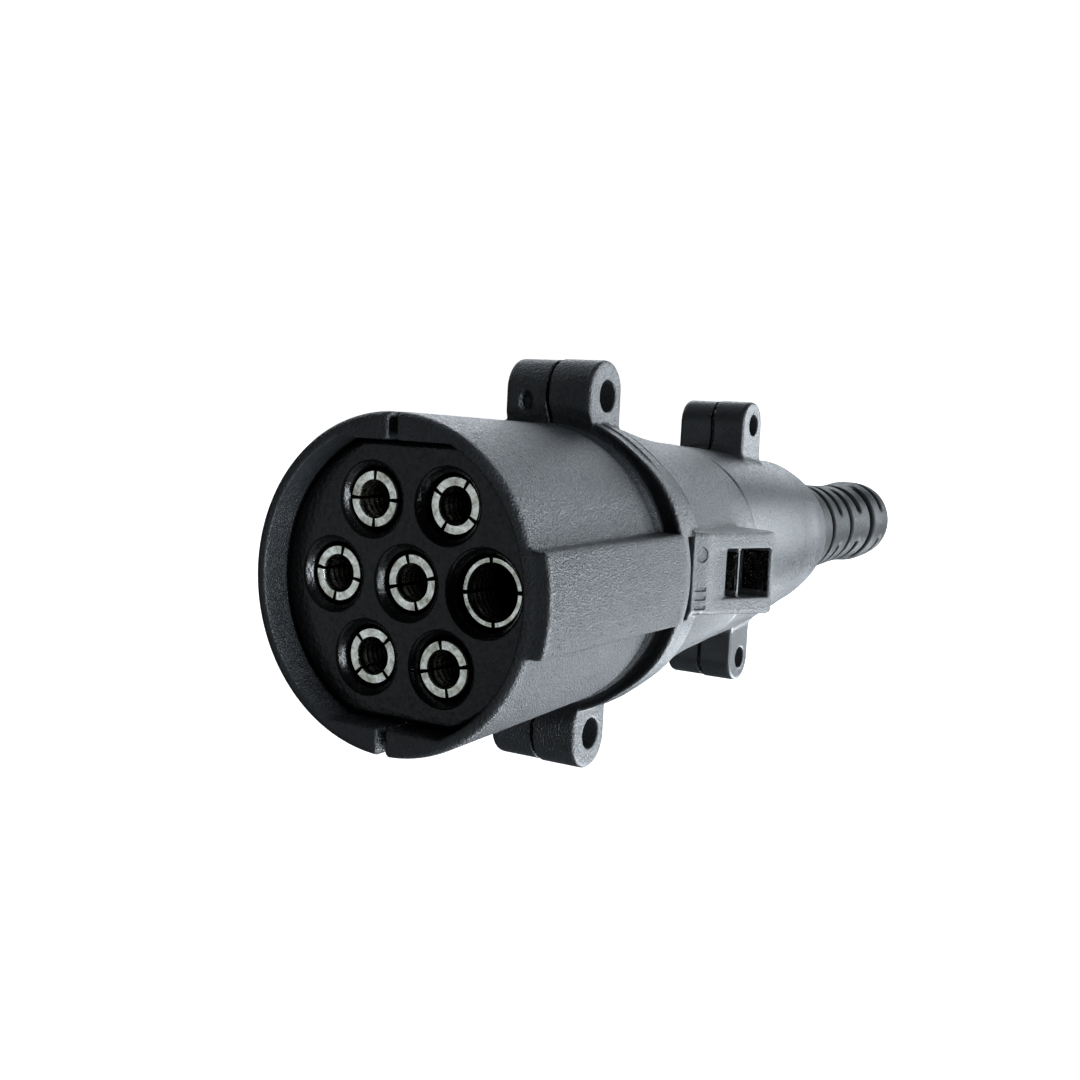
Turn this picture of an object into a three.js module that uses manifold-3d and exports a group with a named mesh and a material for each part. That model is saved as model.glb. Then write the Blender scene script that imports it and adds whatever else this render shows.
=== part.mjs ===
// Seven-pole 24 V trailer wiring plug, built as the real plug comes apart on a bench.
// Units are millimetres. +Y runs from the mating face to the cable, +X is the key side, +Z is up.
// The origin is the centre of the front rim.

import * as THREE from 'three';
import { mergeVertices } from 'three/addons/utils/BufferGeometryUtils.js';
import Module from 'manifold-3d';

const wasm = await Module();
wasm.setup();

// ---------- driving dimensions ----------

const GAP = 0.3;                    // air between pieces that touch
const ROUND = 40;                   // facets round the shells
const ROUND_BOOT = 24;              // facets round the boot
const ROUND_SMALL = 16;             // facets round contacts and screws

// Outside of the two shells as [radius, y].
const SHELL_OUTSIDE = [
  [21.4, 0], [21.8, 0.4], [20.55, 38.4],
  [23.0, 36.9], [23.4, 37.3], [23.4, 39.4], [22.7, 39.9], [22.6, 42.8], [22.1, 43.3],
  [20.4, 52], [19.1, 60], [18.1, 69], [17.6, 76.8], [17.35, 77.1],
  [16.7, 90], [16.0, 100], [15.5, 108], [14.25, 116], [12.3, 124], [11.4, 127],
];
const NOSE_END = 127;

// Inside of the two shells behind the mouth, as [radius, y].
const RIB_BACK = 29.5;
const INSERT_GROOVE = { from: 13.7, to: 17.3, radius: 19.2 };
const BARREL_BORE = 18.0;
const PLATE_RIB = { from: 27.5, to: RIB_BACK, radius: 16.3 };
const BOOT_WEB = { from: 107.6, to: 110, radius: 6.4 };
const BOOT_GROOVE = { from: 110, to: 114.2, radius: 11.4 };
const BOOT_NECK_HOLE = 9.6;
const CHAMBER = [
  [18.0, RIB_BACK], [18.0, 40], [19.4, 44.5], [17.9, 54], [16.3, 64], [15.2, 76],
  [14.3, 90], [13.7, 100], [13.1, BOOT_WEB.from],
];

// Mouth of the plug: a round recess with two flats that key the insert.
const MOUTH = { radius: 20.1, flat: 18.2, depth: 8.2 };
const RIM_SPLIT = { halfWidth: 0.65, depth: 2.2 };

// Outer key rib on the +X side.
const KEY = { radius: 23.9, halfWidth: 6.45, from: 0, to: 37.2 };

// Catch block for the socket's lid, on the +X side behind the collar. Its middle line leans a little:
// it crosses z = 0 at y = pivot and drops by lean for each millimetre towards the cable.
const CATCH = {
  halfWidth: 6.1, lean: 0.07, pivot: 51, foot: 40.5, top: 43.5, rear: 67.6, footX: 22.9, topX: 24.2,
};
const CATCH_POCKET = { halfWidth: 3.65, from: 46.5, bend: 51.5, floorX: 19.5 };
const CATCH_RIB = { from: 55.3, to: 56.7, topX: 23.3 };
const CATCH_HOLLOW = { to: 66.3, floorX: 18.6 };

// Screw lugs; each lug is one closed pair of ears split by the seam.
const FRONT_LUG = {
  y: 41.3, z: 25.45, half: 4.7, reach: 7.25, holeY: 41.75, holeZ: 25.0, hole: 2.3, seat: 16,
};
const REAR_LUG = {
  y: 98.4, z: 21.3, half: 4.1, reach: 6.3, holeY: 98.9, holeZ: 21.25, hole: 1.8, seat: 11,
};
const LUGS = [
  { name: 'front_upper', side: 1, ...FRONT_LUG },
  { name: 'front_lower', side: -1, ...FRONT_LUG },
  { name: 'rear_upper', side: 1, ...REAR_LUG },
  { name: 'rear_lower', side: -1, ...REAR_LUG },
];
const LUG_DIMPLE = { radius: 1.2, depth: 0.9, x: -3.8, drop: 1.75 };
const BODY_SCREW = { shank: 1.4, tip: 3.2, headRadius: 2.4, headHeight: 1.7, drive: 0.5 };
const SCREW_WELL = { radius: 2.75, floorX: -4.2 };
const PILOT_DEPTH = 2.0;

// Contact insert and the plate that locks the contacts in it.
const INSERT = {
  front: 4.1, flangeBack: 7.9, back: 23.8,
  flangeRadius: 19.5, flat: 17.9, bodyRadius: 17.6,
  ribFrom: 14.0, ribTo: 17.0, ribRadius: 18.9,
};
const PLATE = { front: 24.1, back: 27.2, radius: 17.5 };

// Contacts: six on a circle and one in the middle; the large one is the earth, beside the key.
const PITCH_RADIUS = 11.9;
const SMALL = { outer: 3.7, inner: 2.5, collar: 4.4, barrel: 3.0, wire: 1.9, funnel: 4.9, slot: 0.6 };
const LARGE = { outer: 4.45, inner: 3.75, collar: 5.15, barrel: 3.8, wire: 2.6, funnel: 5.6, slot: 0.6 };
const CONTACTS = [
  { name: 'earth_contact', angle: 0, front: 6.0, turn: 5, size: LARGE },
  { name: 'upper_right_contact', angle: 60, front: 5.8, turn: 60, size: SMALL },
  { name: 'upper_left_contact', angle: 120, front: 4.7, turn: 0, size: SMALL },
  { name: 'left_contact', angle: 180, front: 5.3, turn: -10, size: SMALL },
  { name: 'lower_left_contact', angle: 240, front: 5.5, turn: 45, size: SMALL },
  { name: 'lower_right_contact', angle: 300, front: 4.7, turn: 12, size: SMALL },
  { name: 'centre_contact', angle: null, front: 5.4, turn: 15, size: SMALL },
];
const SLEEVE_BORE_DEPTH = 17.5;
const SLOT_BACK = 15.5;
const COLLAR_FROM = 19.8;
const BARREL_BACK = 36.5;
const CENTRE_BARREL_BACK = 42.5;
const BORE_CLEARANCE = 0.5;
const TERMINAL_SCREW = { radius: 1.3, back: 2.9, proud: 0.7, bite: 0.7, drive: 0.5 };

// Cable clamp in the rear chamber.
const CABLE_RADIUS = 5.2;
const CLAMP = { from: 94.6, to: 102.2, halfHeight: 10.2, seatX: 1.4, barX: -6.6, screwZ: 7.9 };
const CLAMP_SCREW = { shank: 1.1, head: 2.0, headHeight: 1.9, tip: 7.5, drive: 0.5 };

// Rubber cable boot.
const BOOT_BORE = 5.6;
const BOOT_FRONT = 110.3;
const BOOT_OUTSIDE = [
  [11.0, BOOT_FRONT], [11.0, 113.9], [9.3, 113.9], [9.3, 127.3],
  [9.9, 127.3], [9.7, 132], [9.2, 139], [8.7, 146], [8.35, 154], [8.35, 160],
  [8.6, 165], [8.85, 168.5], [8.7, 172], [8.3, 175.6], [7.4, 177],
];
const BOOT_BACK = 177;
const BOOT_RINGS = { first: 137.7, pitch: 6.64, count: 6, width: 1.9, depth: 1.6, web: 3.2 };

// ---------- materials ----------

const shellPlastic = new THREE.MeshStandardMaterial({ color: 0x3a3c40, roughness: 0.62, metalness: 0 });
const insertPlastic = new THREE.MeshStandardMaterial({ color: 0x15171a, roughness: 0.38, metalness: 0 });
const contactMetal = new THREE.MeshStandardMaterial({ color: 0xc9c8b8, roughness: 0.3, metalness: 1 });
const screwMetal = new THREE.MeshStandardMaterial({ color: 0x9a9b9c, roughness: 0.35, metalness: 1 });
const darkScrew = new THREE.MeshStandardMaterial({ color: 0x2b2c2e, roughness: 0.45, metalness: 1 });
const clampPlastic = new THREE.MeshStandardMaterial({ color: 0x22252a, roughness: 0.55, metalness: 0 });
const bootRubber = new THREE.MeshStandardMaterial({ color: 0x26282b, roughness: 0.7, metalness: 0 });

// ---------- building blocks ----------

function solid(geometry) {
  geometry.deleteAttribute('normal');
  geometry.deleteAttribute('uv');
  const merged = mergeVertices(geometry, 1e-4);
  const points = merged.attributes.position.array;
  const source = merged.index.array;
  const faces = [];
  for (let i = 0; i < source.length; i += 3) {
    const [a, b, c] = [source[i], source[i + 1], source[i + 2]];
    if (a !== b && b !== c && c !== a) faces.push(a, b, c);
  }
  if (enclosed(points, faces) < 0) {
    for (let i = 0; i < faces.length; i += 3) {
      [faces[i + 1], faces[i + 2]] = [faces[i + 2], faces[i + 1]];
    }
  }
  return new wasm.Manifold(new wasm.Mesh({
    numProp: 3,
    vertProperties: new Float32Array(points),
    triVerts: new Uint32Array(faces),
  }));
}

function enclosed(points, faces) {
  const a = new THREE.Vector3();
  const b = new THREE.Vector3();
  const c = new THREE.Vector3();
  let volume = 0;
  for (let i = 0; i < faces.length; i += 3) {
    a.fromArray(points, faces[i] * 3);
    b.fromArray(points, faces[i + 1] * 3);
    c.fromArray(points, faces[i + 2] * 3);
    volume += a.dot(b.cross(c)) / 6;
  }
  return volume;
}

function revolve(profile, segments) {
  const first = profile[0];
  const last = profile[profile.length - 1];
  const closed = [[0, first[1]], ...profile, [0, last[1]]];
  return solid(new THREE.LatheGeometry(closed.map(([r, y]) => new THREE.Vector2(r, y)), segments));
}

function disc(radius, from, to, segments = ROUND) {
  return revolve([[radius, from], [radius, to]], segments);
}

function box(x0, x1, y0, y1, z0, z1) {
  const geometry = new THREE.BoxGeometry(x1 - x0, y1 - y0, z1 - z0);
  geometry.translate((x0 + x1) / 2, (y0 + y1) / 2, (z0 + z1) / 2);
  return solid(geometry);
}

function rod(radius, from, to, segments = ROUND_SMALL) {
  const start = new THREE.Vector3(...from);
  const end = new THREE.Vector3(...to);
  const along = end.clone().sub(start);
  const geometry = new THREE.CylinderGeometry(radius, radius, along.length(), segments);
  const turn = new THREE.Quaternion();
  turn.setFromUnitVectors(new THREE.Vector3(0, 1, 0), along.clone().normalize());
  geometry.applyQuaternion(turn);
  geometry.translate(...start.add(end).multiplyScalar(0.5).toArray());
  return solid(geometry);
}

function turned(shape, degrees, x = 0, z = 0) {
  return shape.rotate([0, degrees, 0]).translate([x, 0, z]);
}

const group = new THREE.Group();
group.name = 'trailer_wiring_plug';

function addNode(name, shape, material) {
  const mesh = shape.getMesh();
  const geometry = new THREE.BufferGeometry();
  geometry.setAttribute('position', new THREE.BufferAttribute(new Float32Array(mesh.vertProperties), 3));
  geometry.setIndex(new THREE.BufferAttribute(new Uint32Array(mesh.triVerts), 1));
  geometry.computeVertexNormals();
  const node = new THREE.Mesh(geometry, material);
  node.name = name;
  group.add(node);
}

// ---------- the two half shells ----------

function lugBlock(lug) {
  const outline = new THREE.Shape();
  outline.moveTo(-lug.half, lug.seat - lug.z);
  outline.lineTo(lug.half, lug.seat - lug.z);
  outline.lineTo(lug.half, 0);
  outline.absarc(0, 0, lug.half, 0, Math.PI, false);
  outline.lineTo(-lug.half, lug.seat - lug.z);
  const settings = { depth: 2 * lug.reach, bevelEnabled: false, curveSegments: 12 };
  const geometry = new THREE.ExtrudeGeometry(outline, settings);
  const basis = new THREE.Matrix4().makeBasis(
    new THREE.Vector3(0, 1, 0),
    new THREE.Vector3(0, 0, 1),
    new THREE.Vector3(1, 0, 0),
  );
  geometry.applyMatrix4(basis);
  geometry.translate(-lug.reach, lug.y, lug.z);
  const block = solid(geometry);
  return lug.side > 0 ? block : block.rotate([0, 180, 0]);
}

function catchSolid(outline, halfWidth) {
  const geometry = new THREE.ExtrudeGeometry(outline, { depth: 2 * halfWidth, bevelEnabled: false });
  geometry.applyMatrix4(new THREE.Matrix4().makeShear(0, 0, 0, -CATCH.lean, 0, 0));
  geometry.translate(0, 0, CATCH.lean * CATCH.pivot - halfWidth);
  return solid(geometry);
}

function catchBlock() {
  const outline = new THREE.Shape();
  outline.moveTo(14, CATCH.foot);
  outline.lineTo(CATCH.footX, CATCH.foot);
  outline.lineTo(CATCH.topX, CATCH.top);
  outline.lineTo(CATCH.topX, CATCH.rear);
  outline.lineTo(14, CATCH.rear + 0.6);
  return catchSolid(outline, CATCH.halfWidth);
}

function catchPocket() {
  const p = CATCH_POCKET;
  const outline = new THREE.Shape();
  outline.moveTo(26, p.from);
  outline.lineTo(CATCH.topX, p.from);
  outline.quadraticCurveTo(CATCH.topX, p.bend, p.floorX, CATCH_RIB.from);
  outline.lineTo(CATCH_RIB.topX, CATCH_RIB.from);
  outline.lineTo(CATCH_RIB.topX, CATCH_RIB.to);
  outline.lineTo(CATCH_HOLLOW.floorX, CATCH_RIB.to);
  outline.lineTo(CATCH_HOLLOW.floorX, CATCH_HOLLOW.to);
  outline.lineTo(26, CATCH_HOLLOW.to);
  return catchSolid(outline, p.halfWidth);
}

function keyRib() {
  return disc(KEY.radius, KEY.from, KEY.to).intersect(box(0, 30, 0, 40, -KEY.halfWidth, KEY.halfWidth));
}

function shellCavity() {
  const mouth = disc(MOUTH.radius, -1, MOUTH.depth).intersect(box(-30, 30, -2, 20, -MOUTH.flat, MOUTH.flat));
  return mouth
    .add(disc(BARREL_BORE, MOUTH.depth - 0.5, PLATE_RIB.from))
    .add(disc(INSERT_GROOVE.radius, INSERT_GROOVE.from, INSERT_GROOVE.to))
    .add(disc(PLATE_RIB.radius, PLATE_RIB.from - 0.5, PLATE_RIB.to + 0.5))
    .add(revolve(CHAMBER, ROUND))
    .add(disc(BOOT_WEB.radius, BOOT_WEB.from - 0.5, BOOT_WEB.to + 0.5))
    .add(disc(BOOT_GROOVE.radius, BOOT_GROOVE.from, BOOT_GROOVE.to))
    .add(disc(BOOT_NECK_HOLE, BOOT_GROOVE.to - 0.5, NOSE_END + 1));
}

function clampSeat() {
  const seat = box(CLAMP.seatX, 20, CLAMP.from, CLAMP.to, -CLAMP.halfHeight, CLAMP.halfHeight);
  const inside = disc(14.6, CLAMP.from, CLAMP.to);
  const passage = disc(CABLE_RADIUS, CLAMP.from - 1, CLAMP.to + 1, ROUND_SMALL);
  let shaped = seat.intersect(inside).subtract(passage);
  for (const side of [1, -1]) {
    const z = side * CLAMP.screwZ;
    const y = (CLAMP.from + CLAMP.to) / 2;
    shaped = shaped.subtract(rod(CLAMP_SCREW.shank + GAP, [0, y, z], [CLAMP_SCREW.tip + GAP, y, z], 12));
  }
  return shaped;
}

function wholeShell() {
  let shell = revolve(SHELL_OUTSIDE, ROUND).add(keyRib()).add(catchBlock());
  for (const lug of LUGS) shell = shell.add(lugBlock(lug));
  shell = shell.subtract(catchPocket()).subtract(shellCavity());
  for (const lug of LUGS) {
    const z = lug.side * lug.holeZ;
    const out = lug.reach + 1;
    shell = shell
      .subtract(rod(BODY_SCREW.shank + GAP, [-out, lug.holeY, z], [out, lug.holeY, z]))
      .subtract(rod(lug.hole, [PILOT_DEPTH, lug.holeY, z], [out, lug.holeY, z]))
      .subtract(rod(SCREW_WELL.radius, [-out, lug.holeY, z], [SCREW_WELL.floorX, lug.holeY, z]));
  }
  const dimple = LUGS[0];
  const front = dimple.y - dimple.half;
  const dimpleZ = dimple.z - LUG_DIMPLE.drop;
  shell = shell.subtract(rod(
    LUG_DIMPLE.radius,
    [LUG_DIMPLE.x, front - 1, dimpleZ],
    [LUG_DIMPLE.x, front + LUG_DIMPLE.depth, dimpleZ],
    12,
  ));
  const split = RIM_SPLIT.halfWidth;
  for (const side of [1, -1]) {
    const [low, high] = side > 0 ? [15, 25] : [-25, -15];
    shell = shell.subtract(box(-split, split, -1, RIM_SPLIT.depth, low, high));
  }
  return shell;
}

const shell = wholeShell();
const rightShell = shell.intersect(box(GAP / 2, 40, -5, 140, -40, 40)).add(clampSeat());
const leftShell = shell.intersect(box(-40, -GAP / 2, -5, 140, -40, 40));
addNode('right_half_shell', rightShell, shellPlastic);
addNode('left_half_shell', leftShell, shellPlastic);

// ---------- insert, locking plate and contacts ----------

function placeOf(contact) {
  if (contact.angle === null) return { x: 0, z: 0, outX: 0, outZ: 1 };
  const a = THREE.MathUtils.degToRad(contact.angle);
  const outX = Math.cos(a);
  const outZ = Math.sin(a);
  return { x: PITCH_RADIUS * outX, z: PITCH_RADIUS * outZ, outX, outZ };
}

function contactInsert() {
  const flange = disc(INSERT.flangeRadius, INSERT.front, INSERT.flangeBack)
    .intersect(box(-30, 30, 0, 20, -INSERT.flat, INSERT.flat));
  let insert = flange
    .add(disc(INSERT.bodyRadius, INSERT.flangeBack - 0.5, INSERT.back))
    .add(disc(INSERT.ribRadius, INSERT.ribFrom, INSERT.ribTo));
  for (const contact of CONTACTS) {
    const { x, z } = placeOf(contact);
    const size = contact.size;
    const bore = size.outer + BORE_CLEARANCE;
    const passage = revolve([
      [size.funnel, INSERT.front - 1], [size.funnel, INSERT.front], [bore, INSERT.front + 1],
      [bore, COLLAR_FROM - GAP], [size.collar + GAP, COLLAR_FROM - GAP],
      [size.collar + GAP, INSERT.back + 1],
    ], ROUND_SMALL);
    insert = insert.subtract(passage.translate([x, 0, z]));
  }
  return insert;
}

function lockingPlate() {
  let plate = disc(PLATE.radius, PLATE.front, PLATE.back);
  for (const contact of CONTACTS) {
    const { x, z } = placeOf(contact);
    const hole = disc(contact.size.barrel + GAP, PLATE.front - 1, PLATE.back + 1, ROUND_SMALL);
    plate = plate.subtract(hole.translate([x, 0, z]));
  }
  return plate;
}

function barrelBack(contact) {
  return contact.angle === null ? CENTRE_BARREL_BACK : BARREL_BACK;
}

function screwAxis(contact) {
  const { x, z, outX, outZ } = placeOf(contact);
  const y = barrelBack(contact) - TERMINAL_SCREW.back;
  return {
    at: (distance) => [x + outX * distance, y, z + outZ * distance],
  };
}

function contactSleeve(contact) {
  const { x, z } = placeOf(contact);
  const size = contact.size;
  const back = barrelBack(contact);
  let sleeve = revolve([
    [size.outer - 0.25, contact.front], [size.outer, contact.front + 0.25],
    [size.outer, COLLAR_FROM], [size.collar, COLLAR_FROM], [size.collar, INSERT.back],
    [size.barrel, INSERT.back], [size.barrel, back],
  ], ROUND_SMALL);
  sleeve = sleeve
    .subtract(disc(size.inner, contact.front - 1, SLEEVE_BORE_DEPTH, ROUND_SMALL))
    .subtract(disc(size.wire, INSERT.back + 2, back + 1, ROUND_SMALL));
  const half = size.slot / 2;
  for (const quarter of [0, 90]) {
    const cut = box(-size.outer - 1, size.outer + 1, contact.front - 1, SLOT_BACK, -half, half);
    sleeve = sleeve.subtract(turned(cut, quarter - contact.turn));
  }
  const axis = screwAxis(contact);
  return sleeve
    .translate([x, 0, z])
    .subtract(rod(TERMINAL_SCREW.radius + GAP, axis.at(0), axis.at(size.barrel + 1), 12));
}

function terminalScrew(contact) {
  const axis = screwAxis(contact);
  const wire = contact.size.wire;
  const top = contact.size.barrel + TERMINAL_SCREW.proud;
  const screw = rod(TERMINAL_SCREW.radius, axis.at(wire - TERMINAL_SCREW.bite), axis.at(top), 12);
  const [x, y, z] = axis.at(top);
  const drive = TERMINAL_SCREW.drive;
  const slot = box(-drive, drive, -4, 4, -drive / 2, drive / 2);
  const angle = contact.angle === null ? 90 : contact.angle;
  return screw.subtract(slot.rotate([0, -angle, 0]).translate([x, y, z]));
}

addNode('contact_insert', contactInsert(), insertPlastic);
addNode('contact_locking_plate', lockingPlate(), insertPlastic);
for (const contact of CONTACTS) {
  addNode(contact.name, contactSleeve(contact), contactMetal);
}
for (const contact of CONTACTS) {
  addNode(contact.name.replace('contact', 'terminal_screw'), terminalScrew(contact), screwMetal);
}

// ---------- body screws ----------

for (const lug of LUGS) {
  const z = lug.side * lug.holeZ;
  const seat = SCREW_WELL.floorX - GAP;
  const head = seat - BODY_SCREW.headHeight;
  const half = BODY_SCREW.drive;
  const screw = rod(BODY_SCREW.shank, [seat - 0.5, lug.holeY, z], [BODY_SCREW.tip, lug.holeY, z])
    .add(rod(BODY_SCREW.headRadius, [head, lug.holeY, z], [seat, lug.holeY, z]))
    .subtract(box(head - 1, head + 1.1, lug.holeY - 2, lug.holeY + 2, z - half, z + half))
    .subtract(box(head - 1, head + 1.1, lug.holeY - half, lug.holeY + half, z - 2, z + 2));
  addNode(`${lug.name}_body_screw`, screw, darkScrew);
}

// ---------- cable clamp ----------

const clampY = (CLAMP.from + CLAMP.to) / 2;
let clampBar = box(CLAMP.barX, -CLAMP.seatX, CLAMP.from, CLAMP.to, -CLAMP.halfHeight, CLAMP.halfHeight)
  .subtract(disc(CABLE_RADIUS, CLAMP.from - 1, CLAMP.to + 1, ROUND_SMALL));
for (const side of [1, -1]) {
  const z = side * CLAMP.screwZ;
  const screwHole = rod(CLAMP_SCREW.shank + GAP, [CLAMP.barX - 1, clampY, z], [1, clampY, z], 12);
  clampBar = clampBar.subtract(screwHole);
}
addNode('cable_clamp_bar', clampBar, clampPlastic);

for (const side of [1, -1]) {
  const z = side * CLAMP.screwZ;
  const seat = CLAMP.barX - GAP;
  const head = seat - CLAMP_SCREW.headHeight;
  const half = CLAMP_SCREW.drive / 2;
  const screw = rod(CLAMP_SCREW.shank, [seat - 0.5, clampY, z], [CLAMP_SCREW.tip, clampY, z], 12)
    .add(rod(CLAMP_SCREW.head, [head, clampY, z], [seat, clampY, z], 16))
    .subtract(box(head - 1, head + 0.8, clampY - 3, clampY + 3, z - half, z + half));
  addNode(side > 0 ? 'upper_clamp_screw' : 'lower_clamp_screw', screw, screwMetal);
}

// ---------- rubber boot ----------

const bootBore = disc(BOOT_BORE, BOOT_FRONT - 1, BOOT_BACK + 1, ROUND_BOOT);
let boot = revolve(BOOT_OUTSIDE, ROUND_BOOT).subtract(bootBore);
for (let i = 0; i < BOOT_RINGS.count; i += 1) {
  const middle = BOOT_RINGS.first + i * BOOT_RINGS.pitch;
  const from = middle - BOOT_RINGS.width / 2;
  const to = middle + BOOT_RINGS.width / 2;
  const floor = radiusAt(BOOT_OUTSIDE, middle) - BOOT_RINGS.depth;
  const web = BOOT_RINGS.web;
  const bridge = i % 2 === 0
    ? box(-web, web, from - 1, to + 1, -15, 15)
    : box(-15, 15, from - 1, to + 1, -web, web);
  const ring = disc(12, from, to, ROUND_BOOT)
    .subtract(disc(floor, from - 1, to + 1, ROUND_BOOT))
    .subtract(bridge);
  boot = boot.subtract(ring);
}
addNode('cable_boot', boot, bootRubber);

function radiusAt(profile, y) {
  for (let i = 1; i < profile.length; i += 1) {
    const [r0, y0] = profile[i - 1];
    const [r1, y1] = profile[i];
    if (y >= y0 && y <= y1 && y1 > y0) return r0 + (r1 - r0) * (y - y0) / (y1 - y0);
  }
  throw new Error(`no radius at ${y}`);
}

export default group;
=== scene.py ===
"""Seven-pole trailer wiring plug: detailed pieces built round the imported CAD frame.

Shapes are written in millimetres as signed distance fields (negative inside), meshed with surface nets
and pulled onto the exact surface. Objects are in metres, in the row frame: +Y from the mating face to
the cable, +X the key side, +Z up.
"""

import math

import bmesh
import bpy
import numpy as np
from mathutils import Matrix, Vector


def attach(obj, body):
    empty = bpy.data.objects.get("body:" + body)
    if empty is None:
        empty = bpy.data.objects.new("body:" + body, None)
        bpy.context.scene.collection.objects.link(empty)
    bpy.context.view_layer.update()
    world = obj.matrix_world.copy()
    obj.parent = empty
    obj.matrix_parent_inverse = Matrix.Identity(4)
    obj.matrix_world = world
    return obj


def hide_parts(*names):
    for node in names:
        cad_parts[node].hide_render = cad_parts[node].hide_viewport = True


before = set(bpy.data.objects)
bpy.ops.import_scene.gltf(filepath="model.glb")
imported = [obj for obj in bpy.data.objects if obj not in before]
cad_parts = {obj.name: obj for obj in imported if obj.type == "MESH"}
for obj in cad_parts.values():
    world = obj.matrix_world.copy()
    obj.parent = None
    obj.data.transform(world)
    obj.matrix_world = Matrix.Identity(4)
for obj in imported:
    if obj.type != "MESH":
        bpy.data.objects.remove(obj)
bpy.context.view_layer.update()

MM = 0.001
SEAM = ((50.0, 0.27), (92.0, 0.1))      # half the air left between the shells, at two places along Y

# ---------------------------------------------------------------- dimensions, mm

BARREL_MOUTH = 21.8
BARREL_DRAFT = 0.033
BARREL_BACK = 38.5
BARREL_GROOVE = {"y": 35.5, "depth": 0.4, "width": 0.65}
BARREL_BEAD = {"y": 36.65, "height": 0.22, "width": 0.32}
FLANGE = {"radius": 23.4, "drop": 1.15, "from": 36.9, "to": 39.4}
FLANGE_DISH = {"r": 20.5, "y": 38.4, "rim_r": 23.0, "rim_y": 36.9}
FLANGE_FLAT = {"from_x": 13.0, "over": 9.5}
STEP = {"inset": 0.15, "flat": 22.7, "line": 43.0, "line_width": 0.8, "to": 48.0, "fall": 0.45}
TAIL = [
    (40.0, 22.2), (43.3, 21.8), (48.0, 21.1), (52.0, 20.4), (56.0, 19.7), (60.0, 19.1), (64.0, 18.6),
    (69.0, 18.1), (76.8, 17.6), (84.0, 17.25), (90.0, 16.85), (96.0, 16.35), (100.0, 15.95),
    (104.0, 15.5), (108.0, 14.95), (112.0, 14.45), (116.0, 14.0), (120.0, 13.3), (124.0, 12.4),
    (127.0, 11.5), (130.0, 10.5),
]
TAIL_FROM = 40.5
TAIL_STEP = {"y": 76.9, "depth": 0.15, "over": 0.4, "line": 0.28, "line_width": 0.55}
TAIL_WAVES = {"heights": [(120.0, 0.95), (111.0, -0.45)], "spread_y": 4.5, "spread_x": 6.5}
NOSE_END = 127.0

KEY = {"radius": 23.9, "half": 6.45, "from": 0.0, "to": 37.2, "from_x": 10.0}
CATCH = {
    "half": 5.9, "widen": 0.025, "widen_from": 44.0, "lean": 0.07, "pivot": 51.0, "draft": 0.03,
    "foot": 40.5, "foot_x": 22.9, "top": 43.5, "top_x": 24.2, "rear": 67.6, "rear_draft": 0.05,
    "root_x": 14.0,
}
POCKET = {
    "half": 3.55, "from": 45.3, "to": 66.3, "rib": (55.3, 56.7), "rib_x": 23.3, "deep": 18.6, "roll": 18.0,
}
FRONT_LUG = {"y": 41.3, "hole_y": 41.75, "z": 25.45, "hole_z": 25.0, "reach": 7.25, "half": 4.7, "hole": 2.3}
REAR_LUG = {"y": 98.4, "hole_y": 98.9, "z": 21.3, "hole_z": 21.25, "reach": 6.3, "half": 4.1, "hole": 1.8}
LUGS = [
    {"name": "front_upper", "side": 1, **FRONT_LUG},
    {"name": "front_lower", "side": -1, **FRONT_LUG},
    {"name": "rear_upper", "side": 1, **REAR_LUG},
    {"name": "rear_lower", "side": -1, **REAR_LUG},
]
LUG_FOOT = 14.0
LUG_MISMATCH = 0.15
MARK = {"depth": 0.2, "from": 0.65, "to": 2.75, "dot": 3.3, "bars": (-1.6, -2.9, -4.2), "bar_half": 0.24}
DITCH = {"margin": 0.05, "floor": 20.6}
DIMPLE = {"at": (-3.8, 36.75, 23.7), "radii": (1.0, 0.8, 1.45)}
RIM_SPLIT = {"half": 0.65, "to": 2.2, "from_z": 17.0}

SCREW_SEAT = -4.2
SCREW_WELL = 2.75
SCREW_SHANK = 1.4
SCREW_HEAD = {"radius": 2.4, "height": 1.7, "dome": 4.6, "gap": 0.15}
SCREW_CROSS = {"half": 0.4, "reach": 1.5, "depth": 1.1}
SCREW_THREAD = {"root": 1.12, "height": 0.28, "pitch": 0.9, "to": 3.2, "point_from": 2.2, "point_slope": 0.6}
PILOT_DEPTH = 2.0

# Rooms turned inside the shells, as (radius, from, to): the insert's bore, its rib's groove, the way into
# the chamber, the cable hole, the groove of the boot's flange and the boot's mouth.
ROOMS = [
    (18.0, 7.0, 28.0), (19.2, 13.7, 17.3), (16.3, 27.0, 30.0),
    (6.4, 107.0, 111.0), (11.4, 110.0, 114.2), (9.6, 113.5, 130.0),
]
MOUTH = {"radius": 20.1, "flat": 18.2, "depth": 8.2}
CHAMBER = [
    (29.5, 18.0), (40.0, 18.0), (44.5, 19.4), (54.0, 17.9), (64.0, 16.3), (76.0, 15.2),
    (90.0, 14.3), (100.0, 13.7), (107.6, 13.1),
]
CLAMP = {"from": 94.6, "to": 102.2, "half": 10.2, "bore": 5.2, "seat_top": 1.4, "seat_radius": 14.6}
CLAMP_BAR = (-6.6, -1.4)
CLAMP_SCREW = {
    "y": 98.4, "z": 7.9, "hole": 1.4, "hole_end": 7.8, "seat": -6.9, "height": 1.9, "head": 2.0,
    "slot_half": 0.28, "slot_depth": 0.8, "shank": 1.1, "end": 7.5,
}

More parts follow.
